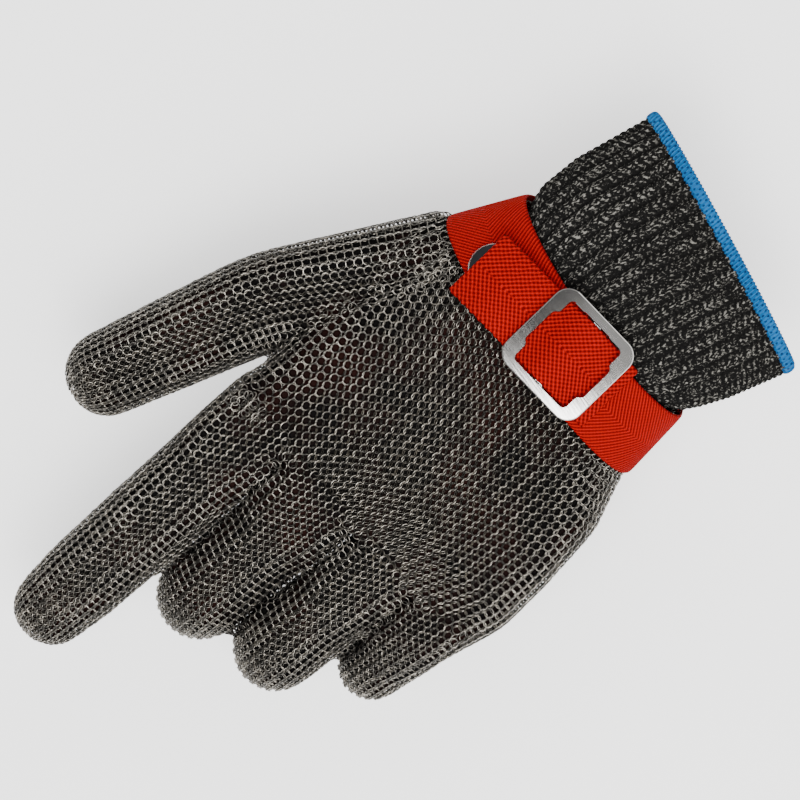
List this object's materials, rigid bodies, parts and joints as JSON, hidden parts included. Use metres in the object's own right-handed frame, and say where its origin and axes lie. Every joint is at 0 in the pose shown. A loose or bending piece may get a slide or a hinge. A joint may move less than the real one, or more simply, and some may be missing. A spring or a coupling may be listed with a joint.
{
  "type": "chain mail glove",
  "caption": "Steel ring mail glove for the left hand over a knitted liner with a long ribbed cuff, closed at the wrist by a webbing strap with a slider buckle and a press stud.",
  "frame": {"origin": "middle of the wrist under the strap", "axes": "+Y along the hand to the fingertips, +X to the thumb side, +Z out of the back of the hand"},
  "size_m": [0.1528, 0.2577, 0.0939],
  "materials": {
    "mail_steel": "welded stainless steel rings, bright wire with dark gaps",
    "liner_knit": "dark knitted cut resistant yarn",
    "cuff_knit": "black ribbed knit with white and grey flecks",
    "edging_yarn": "blue overlocked yarn",
    "red_webbing": "red herringbone webbing",
    "buckle_steel": "stamped stainless steel, lightly polished, bright edges",
    "snap_steel": "polished nickel plated steel"
  },
  "bodies": {
    "root": {"hand_mail": "mail_steel", "hand_liner": "liner_knit", "knit_cuff": "cuff_knit", "cuff_edging": "edging_yarn", "strap_band": "red_webbing", "strap_upper_ply": "red_webbing", "snap_disc": "snap_steel"},
    "index_proximal": {"index_mail_proximal": "mail_steel", "index_liner_proximal": "liner_knit"},
    "index_middle": {"index_mail_middle": "mail_steel", "index_liner_middle": "liner_knit"},
    "index_distal": {"index_mail_distal": "mail_steel", "index_liner_distal": "liner_knit"},
    "middle_proximal": {"middle_mail_proximal": "mail_steel", "middle_liner_proximal": "liner_knit"},
    "middle_middle": {"middle_mail_middle": "mail_steel", "middle_liner_middle": "liner_knit"},
    "middle_distal": {"middle_mail_distal": "mail_steel", "middle_liner_distal": "liner_knit"},
    "ring_proximal": {"ring_mail_proximal": "mail_steel", "ring_liner_proximal": "liner_knit"},
    "ring_middle": {"ring_mail_middle": "mail_steel", "ring_liner_middle": "liner_knit"},
    "ring_distal": {"ring_mail_distal": "mail_steel", "ring_liner_distal": "liner_knit"},
    "little_proximal": {"little_mail_proximal": "mail_steel", "little_liner_proximal": "liner_knit"},
    "little_middle": {"little_mail_middle": "mail_steel", "little_liner_middle": "liner_knit"},
    "little_distal": {"little_mail_distal": "mail_steel", "little_liner_distal": "liner_knit"},
    "thumb_proximal": {"thumb_mail_proximal": "mail_steel", "thumb_liner_proximal": "liner_knit"},
    "thumb_distal": {"thumb_mail_distal": "mail_steel", "thumb_liner_distal": "liner_knit"},
    "buckle": {"slider_buckle": "buckle_steel"},
    "flap": {"strap_flap": "red_webbing", "snap_socket": "snap_steel"}
  },
  "joints": [
    {"name": "index_proximal_bend", "type": "hinge", "parent": "root", "child": "index_proximal", "pos_m": [0.031, 0.104, 0.001], "axis": [-0.994, -0.1097, 0], "range_deg": [-8, 62]},
    {"name": "index_middle_bend", "type": "hinge", "parent": "index_proximal", "child": "index_middle", "pos_m": [0.026, 0.14928, -0.0054], "axis": [-0.994, -0.1097, 0], "range_deg": [-12, 83]},
    {"name": "index_distal_bend", "type": "hinge", "parent": "index_middle", "child": "index_distal", "pos_m": [0.02322, 0.1745, -0.01464], "axis": [-0.994, -0.1097, 0], "range_deg": [-6.6, 45.65]},
    {"name": "middle_proximal_bend", "type": "hinge", "parent": "root", "child": "middle_proximal", "pos_m": [0.001, 0.09978, 0.001], "axis": [-0.9962, -0.0872, 0], "range_deg": [-22, 48]},
    {"name": "middle_middle_bend", "type": "hinge", "parent": "middle_proximal", "child": "middle_middle", "pos_m": [-0.00308, 0.14643, -0.01792], "axis": [-0.9962, -0.0872, 0], "range_deg": [-85, 10]},
    {"name": "middle_distal_bend", "type": "hinge", "parent": "middle_middle", "child": "middle_distal", "pos_m": [-0.00234, 0.13798, -0.04565], "axis": [-0.9962, -0.0872, 0], "range_deg": [-46.75, 5.5]},
    {"name": "ring_proximal_bend", "type": "hinge", "parent": "root", "child": "ring_proximal", "pos_m": [-0.0285, 0.09564, 0.001], "axis": [-0.9976, -0.0698, 0], "range_deg": [-23, 47]},
    {"name": "ring_middle_bend", "type": "hinge", "parent": "ring_proximal", "child": "ring_middle", "pos_m": [-0.03139, 0.13696, -0.01658], "axis": [-0.9976, -0.0698, 0], "range_deg": [-85, 10]},
    {"name": "ring_distal_bend", "type": "hinge", "parent": "ring_middle", "child": "ring_distal", "pos_m": [-0.03081, 0.12864, -0.04226], "axis": [-0.9976, -0.0698, 0], "range_deg": [-46.75, 5.5]},
    {"name": "little_proximal_bend", "type": "hinge", "parent": "root", "child": "little_proximal", "pos_m": [-0.0532, 0.09217, 0.001], "axis": [-0.9986, -0.0523, 0], "range_deg": [-42, 28]},
    {"name": "little_middle_bend", "type": "hinge", "parent": "little_proximal", "child": "little_middle", "pos_m": [-0.05448, 0.11666, -0.02108], "axis": [-0.9986, -0.0523, 0], "range_deg": [-80, 15]},
    {"name": "little_distal_bend", "type": "hinge", "parent": "little_middle", "child": "little_distal", "pos_m": [-0.05389, 0.10528, -0.03931], "axis": [-0.9986, -0.0523, 0], "range_deg": [-44, 8.25]},
    {"name": "thumb_proximal_bend", "type": "hinge", "parent": "root", "child": "thumb_proximal", "pos_m": [0.0625, 0.076, -0.008], "axis": [-0.9816, 0.1908, 0], "range_deg": [-8, 42]},
    {"name": "thumb_distal_bend", "type": "hinge", "parent": "thumb_proximal", "child": "thumb_distal", "pos_m": [0.06892, 0.10905, -0.01273], "axis": [-0.9816, 0.1908, 0], "range_deg": [-8, 62]},
    {"name": "buckle_slide", "type": "slide", "parent": "root", "child": "buckle", "axis": [0.9853, 0.1561, 0.0698], "range_m": [-0.002, 0.002]},
    {"name": "flap_lift", "type": "hinge", "parent": "root", "child": "flap", "pos_m": [0.01303, 0.01111, 0.02749], "axis": [0.1564, -0.9877, 0], "range_deg": [0, 100]}
  ],
  "couplings": [
    {"joint": "index_distal_bend", "follows": "index_middle_bend", "ratio": 0.55},
    {"joint": "middle_distal_bend", "follows": "middle_middle_bend", "ratio": 0.55},
    {"joint": "ring_distal_bend", "follows": "ring_middle_bend", "ratio": 0.55},
    {"joint": "little_distal_bend", "follows": "little_middle_bend", "ratio": 0.55}
  ]
}
